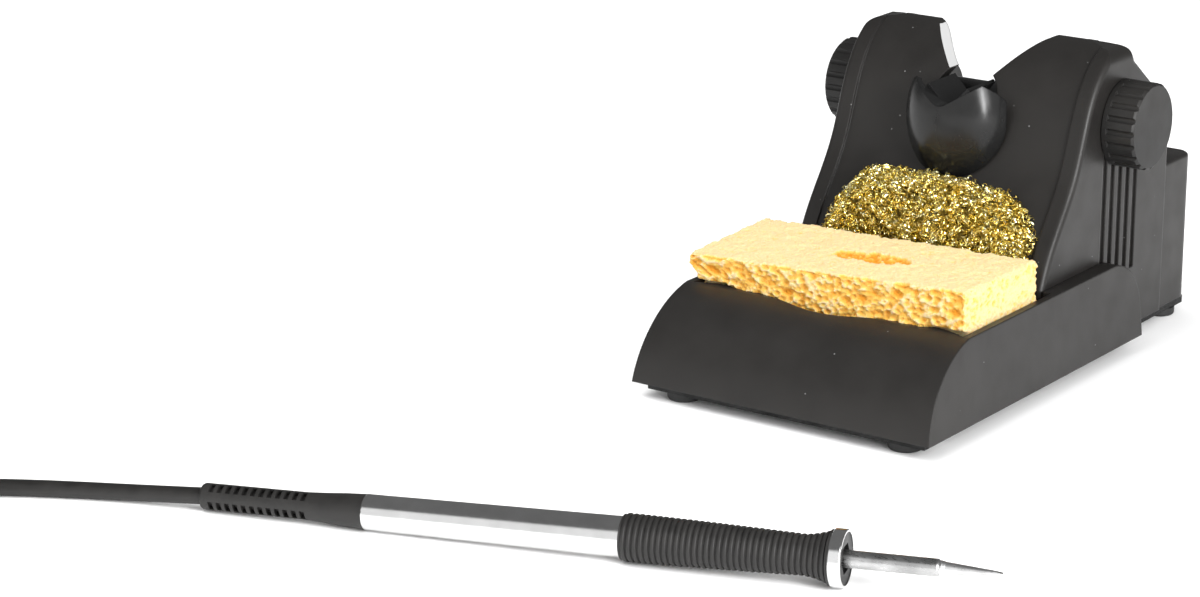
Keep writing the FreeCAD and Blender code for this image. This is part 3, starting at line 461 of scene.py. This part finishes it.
def add_cord(material):
    """The whole cord as one round curve, in place of the CAD's lead, coil and tail."""
    route = [stand(*p) for p in LEAD + coil_points() + TAIL]
    data = bpy.data.curves.new("cord", "CURVE")
    data.dimensions = "3D"
    data.bevel_depth = CORD / 2 * MM
    data.bevel_resolution = 6
    data.resolution_u = 6
    data.use_fill_caps = True
    spline = data.splines.new("NURBS")
    spline.points.add(len(route) - 1)
    for point, place in zip(spline.points, route):
        point.co = (*place, 1.0)
    spline.order_u = 3
    spline.use_endpoint_u = True
    data.materials.append(material)
    cord = bpy.data.objects.new("cord", data)
    bpy.context.scene.collection.objects.link(cord)
    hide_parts("cord_lead", "cord_coil", "cord_tail")
    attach(cord, "iron")


# ---------------------------------------------------------------- sponge

def mesh_piece(name, points, faces, material, body, smooth=True):
    """A visible piece that rides on a body."""
    mesh = bpy.data.meshes.new(name)
    mesh.from_pydata(points, [], faces)
    mesh.update()
    if smooth:
        mesh.shade_smooth()
    mesh.materials.append(material)
    piece = bpy.data.objects.new(name, mesh)
    bpy.context.scene.collection.objects.link(piece)
    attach(piece, body)
    return piece


def set_attribute(mesh, name, values):
    attribute = mesh.attributes.new(name, "FLOAT", "POINT")
    attribute.data.foreach_set("value", np.asarray(values, np.float32))


def block_lattice(counts):
    """Surface points of a unit block, as whole lattice steps, and the quads between them."""
    nx, ny, nz = counts
    index, points, faces = {}, [], []

    def corner(i, j, k):
        key = (i, j, k)
        if key not in index:
            index[key] = len(points)
            points.append(key)
        return index[key]

    def quad(*keys):
        faces.append([corner(*key) for key in keys])

    for i in range(nx):
        for j in range(ny):
            quad((i, j, 0), (i, j + 1, 0), (i + 1, j + 1, 0), (i + 1, j, 0))
            quad((i, j, nz), (i + 1, j, nz), (i + 1, j + 1, nz), (i, j + 1, nz))
    for i in range(nx):
        for k in range(nz):
            quad((i, 0, k), (i + 1, 0, k), (i + 1, 0, k + 1), (i, 0, k + 1))
            quad((i, ny, k), (i, ny, k + 1), (i + 1, ny, k + 1), (i + 1, ny, k))
    for j in range(ny):
        for k in range(nz):
            quad((0, j, k), (0, j, k + 1), (0, j + 1, k + 1), (0, j + 1, k))
            quad((nx, j, k), (nx, j + 1, k), (nx, j + 1, k + 1), (nx, j, k + 1))
    return np.array(points, float), faces


# The sponge is made as a block of one height, then stretched between its floor and its sloping top.
SPONGE_STEP = 0.38
SPONGE_HALF, SPONGE_FRONT, SPONGE_BACK = 45.2, 26.0, 68.2
SPONGE_FLOOR, SPONGE_BLOCK = 22.5, 20.0
EDGE_SOFTNESS = 0.9
SPONGE_TOP = {"front_left": 38.2, "front_right": 42.6, "back_right": 41.8, "back_left": 39.6}

# The sponge's front is pressed back below the lip's edge, which is scooped out between its two ears.
LIP_EAR_X, LIP_EAR_Y, LIP_MIDDLE_Y = 36.0, 28.3, 22.3
LIP_MIDDLE_Z, LIP_EAR_RISE = 27.5, 3.5
LIP_GAP, TUCK_LEAST, TUCK_MOST = 1.0, 0.3, 3.3
TUCK_END = 40

# Above the tray's left cheek the sponge leans out over it.
CHEEK_TOP, CHEEK_FADE, OVERHANG = 32.5, 2.5, 3.0
OVERHANG_START, OVERHANG_FADE = 20, 25

# A face's pores change only the points this near to it. On the upright faces they lie between two heights.
# The torn patch on top is an oval of larger ones.
PORE_REACH = 2.3
PORES_LOW, PORES_HIGH = 24.0, 42.5
PATCH_X, PATCH_Y = 2.5, 46.5
PATCH_HALF_X, PATCH_HALF_Y = 12.5, 4.2
PATCH_PORES = 170
WAVE_HEIGHT, FUZZ_HEIGHT = 0.35, 0.28


def sponge_top_z(x, y):
    """Height of the sponge's sloping top at a place on it."""
    right = (x + SPONGE_HALF) / (2 * SPONGE_HALF)
    back = (y - SPONGE_FRONT) / (SPONGE_BACK - SPONGE_FRONT)
    front_z = SPONGE_TOP["front_left"] + (SPONGE_TOP["front_right"] - SPONGE_TOP["front_left"]) * right
    back_z = SPONGE_TOP["back_left"] + (SPONGE_TOP["back_right"] - SPONGE_TOP["back_left"]) * right
    return front_z + (back_z - front_z) * back


def on_top(x, y):
    return (x, y, sponge_top_z(x, y))


def scatter_pores(rng):
    """(face, centre, radius, depth, stretch) of every pore, on the block's front, back, sides and top."""
    pores = []

    def scatter(face, count, low, high, place, depth, stretch):
        for _ in range(count):
            radius = low * (high / low) ** (rng.random() ** 2.2)
            pores.append((face, np.array(place()), radius, radius * depth, stretch))

    half, front, back = SPONGE_HALF, SPONGE_FRONT, SPONGE_BACK

    def across():
        return rng.uniform(-half, half)

    def upright():
        return rng.uniform(PORES_LOW, PORES_HIGH)

    for face, y in (("front", front), ("back", back)):
        scatter(face, 2800, 0.30, 1.15, lambda y=y: (across(), y, upright()), 0.9, (0.8, 1, 1.1))
        scatter(face, 45, 1.1, 2.0, lambda y=y: (across(), y, upright()), 0.7, (0.75, 1, 1.2))
    for face, x in (("left", -half), ("right", half)):
        scatter(face, 700, 0.25, 0.75, lambda x=x: (x, rng.uniform(front, back), upright()), 0.6, (1, 0.8, 1))
    scatter("top", 320, 0.25, 0.8, lambda: on_top(across(), rng.uniform(front, back)), 0.35, (0.8, 1, 1))
    for _ in range(PATCH_PORES):
        angle, reach = rng.uniform(0, 2 * math.pi), rng.random() ** 0.5
        place = on_top(PATCH_X + PATCH_HALF_X * reach * math.cos(angle),
                       PATCH_Y + PATCH_HALF_Y * reach * math.sin(angle))
        radius, depth = rng.uniform(0.4, 1.4), rng.uniform(0.7, 1.8)
        pores.append(("top", np.array(place), radius, depth, (0.8, 1, 1)))
    return pores


def soft_block(flat, size):
    """Points on a block's surface moved onto one with rounded edges, and their normals."""
    inner = np.clip(flat, EDGE_SOFTNESS, size - EDGE_SOFTNESS)
    away = flat - inner
    normal = away / np.maximum(np.linalg.norm(away, axis=1, keepdims=True), 1e-9)
    return inner + normal * EDGE_SOFTNESS, normal


def tuck_behind_lip(x, y, z):
    """The y of the sponge's points once its front is pressed back behind the tray's lip."""
    outward = np.clip(np.abs(x) / LIP_EAR_X, 0, 1) ** 2
    below_edge = np.clip(LIP_MIDDLE_Z + LIP_EAR_RISE * outward - z, 0, 1)
    lip_back = LIP_MIDDLE_Y + (LIP_EAR_Y - LIP_MIDDLE_Y) * outward
    tuck = np.clip(lip_back + LIP_GAP - SPONGE_FRONT, TUCK_LEAST, TUCK_MOST)
    return y + below_edge * np.clip((TUCK_END - y) / (TUCK_END - SPONGE_FRONT), 0, 1) * tuck


def dig_pores(place, top):
    """How deep the pores go at each of the sponge's points, and how much painted shade each point gets from
    that depth.
    """
    x, y, z = place.T
    depth = np.zeros(len(place))
    shade = np.zeros(len(place))
    faces_near = {"front": y < SPONGE_FRONT + PORE_REACH + TUCK_MOST,
                  "back": y > SPONGE_BACK - PORE_REACH,
                  "left": x < PORE_REACH - SPONGE_HALF,
                  "right": x > SPONGE_HALF - PORE_REACH,
                  "top": z > top - PORE_REACH}
    choice = {face: np.flatnonzero(near) for face, near in faces_near.items()}
    rng = np.random.default_rng(7)
    for face, centre, radius, pore_depth, stretch in scatter_pores(rng):
        chosen = choice[face]
        offset = (place[chosen] - centre) * np.array(stretch)
        distance2 = (offset * offset).sum(axis=1) / radius ** 2
        inside = distance2 < 1
        bowl = np.sqrt(1 - distance2[inside])
        struck = chosen[inside]
        depth[struck] = np.maximum(depth[struck], bowl * pore_depth)
        # Painted shade: the deeper a point lies in a pore, the darker orange it is coloured.
        shade[struck] = np.maximum(shade[struck], np.clip(bowl * pore_depth * 0.9, 0, 1))
    return depth, shade


def add_sponge(material):
    """The damp sponge: a block with a torn patch on top, pitted sides and ragged edges."""
    size = np.array([2 * SPONGE_HALF, SPONGE_BACK - SPONGE_FRONT, SPONGE_BLOCK])
    counts = [int(round(s / SPONGE_STEP)) for s in size]
    lattice, faces = block_lattice(counts)
    flat, normal = soft_block(lattice / np.array(counts) * size, size)
    x = flat[:, 0] - SPONGE_HALF
    y = flat[:, 1] + SPONGE_FRONT
    top = sponge_top_z(x, y)
    z = top - (size[2] - flat[:, 2]) * (top - SPONGE_FLOOR) / size[2]
    place = np.stack([x, tuck_behind_lip(x, y, z), z], axis=1)

    depth, shade = dig_pores(place, top)
    wave = np.array([noise.fractal(Vector(p * 0.22), 0.6, 2.1, 4) for p in place])
    fuzz = np.array([noise.fractal(Vector(p * 1.3), 0.5, 2.2, 3) for p in place])
    lift = wave * WAVE_HEIGHT + fuzz * FUZZ_HEIGHT - depth
    place = place + normal * lift[:, None]
    over_cheek = (np.clip((z - CHEEK_TOP) / CHEEK_FADE, 0, 1)
                  * np.clip((-x - OVERHANG_START) / OVERHANG_FADE, 0, 1))
    place[:, 0] -= OVERHANG * over_cheek
    points = [stand(*p) for p in place]
    sponge = mesh_piece("sponge_block", points, faces, material, "sponge_block")
    set_attribute(sponge.data, "pore", shade)
    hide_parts("sponge")


# ---------------------------------------------------------------- brass wool

# The wool's crest as (x, z), and its cross section as (y, z) from the sponge up to the tower. Its wires lie
# in a layer over the dark core, which carries painted shade.
WOOL_CREST = [(-31.5, 37.5), (-30.5, 46.0), (-28, 51.0), (-23, 55.0), (-10, 57), (0, 57), (11, 55.8),
              (22, 54.2), (31, 49.0), (36, 44.0), (38, 38.0)]
WOOL_SIDE = [(71.0, 36.0), (70.2, 42.0), (73.6, 47.6), (79.0, 51.6), (85.0, 54.0), (89.0, 54.4)]
WOOL_BASE = 34.0
WOOL_LEFT, WOOL_RIGHT = -30, 37
WOOL_LUMP = 1.2
WIRE_LAYER = 2.2

CORE_LEFT, CORE_RIGHT = -28.5, 35.5
CORE_DEPTH = 2.4
CORE_FRONT, CORE_BACK = 74.0, 88.0


def between(points, value):
    """Straight interpolation in a list of (place, height) points."""
    return float(np.interp(value, [p[0] for p in points], [p[1] for p in points]))


def wool_surface(x, share):
    """A point on the wool's form: share runs from the sponge's edge up to the tower's face."""
    places = np.linspace(0, 1, len(WOOL_SIDE))
    y = np.interp(share, places, [p[0] for p in WOOL_SIDE])
    z = np.interp(share, places, [p[1] for p in WOOL_SIDE])
    scale = (between(WOOL_CREST, x) - WOOL_BASE) / (WOOL_SIDE[-1][1] - WOOL_BASE)
    lumps = noise.fractal(Vector((x * 0.09, share * 3.0, 4.2)), 0.8, 2.0, 3)
    return np.array([x, y - lumps * WOOL_LUMP, WOOL_BASE + (z - WOOL_BASE) * scale + lumps * WOOL_LUMP])


def wool_normal(x, share):
    """The direction straight out of the wool's form at a point on it."""
    along = wool_surface(x + 0.5, share) - wool_surface(x - 0.5, share)
    up = wool_surface(x, min(share + 0.04, 1)) - wool_surface(x, max(share - 0.04, 0))
    normal = np.cross(along, up)
    return normal / np.linalg.norm(normal)


def add_wool_shade_core(material):
    """The inside of the wool, seen between its wires, as a sheet dark with painted shade."""
    columns, rows = 60, 24
    points, faces = [], []
    for i in range(columns + 1):
        x = CORE_LEFT + (CORE_RIGHT - CORE_LEFT) * i / columns
        for j in range(rows + 1):
            share = j / rows
            place = wool_surface(x, share) - wool_normal(x, share) * CORE_DEPTH
            points.append(stand(*place))
        points.append(stand(x, CORE_BACK, WOOL_BASE))
        points.append(stand(x, CORE_FRONT, WOOL_BASE))
    ring = rows + 3
    for i in range(columns):
        for j in range(ring):
            k = (j + 1) % ring
            faces.append([i * ring + j, (i + 1) * ring + j, (i + 1) * ring + k, i * ring + k])
    faces.append(list(range(ring)))
    faces.append([columns * ring + j for j in reversed(range(ring))])
    mesh_piece("wool_shade_core", points, faces, material, "wool_ball")


def add_ribbon(points, faces, shades, path, width, shade):
    """A thin three-sided ribbon along a path."""
    path = np.array(path)
    heading = np.gradient(path, axis=0)
    heading /= np.linalg.norm(heading, axis=1, keepdims=True)
    flat = np.cross(heading, path - path.mean(axis=0))
    flat /= np.maximum(np.linalg.norm(flat, axis=1, keepdims=True), 1e-9)
    thick = np.cross(heading, flat)
    first = len(points)
    section = [(-1.0, -0.25), (1.0, -0.25), (0.0, 0.35)]
    for place, across, through in zip(path, flat, thick):
        for a, b in section:
            points.append(place + across * (a * width) + through * (b * width))
            shades.append(shade)
    for i in range(len(path) - 1):
        for j in range(3):
            k = (j + 1) % 3
            a, b = first + 3 * i, first + 3 * (i + 1)
            faces.append([a + j, a + k, b + k, b + j])
    faces.append([first + 2, first + 1, first])
    last = first + 3 * (len(path) - 1)
    faces.append([last, last + 1, last + 2])


def add_wool_wires(material, strands=1700, seed=11):
    """Curled flat wires, laid at random over the wool's form."""
    rng = np.random.default_rng(seed)
    points, faces, shades = [], [], []
    for _ in range(strands):
        x = rng.uniform(WOOL_LEFT, WOOL_RIGHT)
        share = rng.uniform(0, 1)
        normal = wool_normal(x, share)
        centre = wool_surface(x, share) - normal * rng.uniform(0.0, WIRE_LAYER)
        tangent = np.cross(normal, rng.normal(size=3))
        tangent /= np.linalg.norm(tangent)
        side = np.cross(normal, tangent)
        curl = rng.uniform(0.4, 1.15)
        turns = rng.uniform(1.5, 4.5)
        pitch = rng.uniform(0.6, 1.7)
        width = rng.uniform(0.10, 0.17)
        lean = rng.uniform(0.45, 1.0)
        bend = rng.uniform(-0.5, 0.5)
        steps = int(turns * 14)
        phase = rng.uniform(0, 2 * math.pi)
        shade = rng.random()
        path = []
        for i in range(steps + 1):
            angle = phase + 2 * math.pi * turns * i / steps
            travel = pitch * turns * (i / steps - 0.5)
            sway = bend * travel * travel * 0.25
            path.append(centre + tangent * travel + side * (curl * math.cos(angle) + sway)
                        + normal * curl * lean * math.sin(angle))
        add_ribbon(points, faces, shades, path, width, shade)
    wires = mesh_piece("wool_wires", [stand(*p) for p in points], faces, material, "wool_ball",
                       smooth=False)
    set_attribute(wires.data, "shade", shades)
    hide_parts("brass_wool")


# ---------------------------------------------------------------- scene

bpy.context.scene.view_settings.view_transform = "Standard"
add_camera()
add_floor()
add_light()
dress_nodes()
jacket = rubber("cord_jacket", rgb(0.010, 0.0095, 0.009), rgb(0.017, 0.016, 0.015), 0.42, depth=0.015)
dress("cord_end", jacket)
add_cord(jacket)
add_sponge(cellulose())
add_wool_shade_core(wool_shade_core())
add_wool_wires(wool_wire())
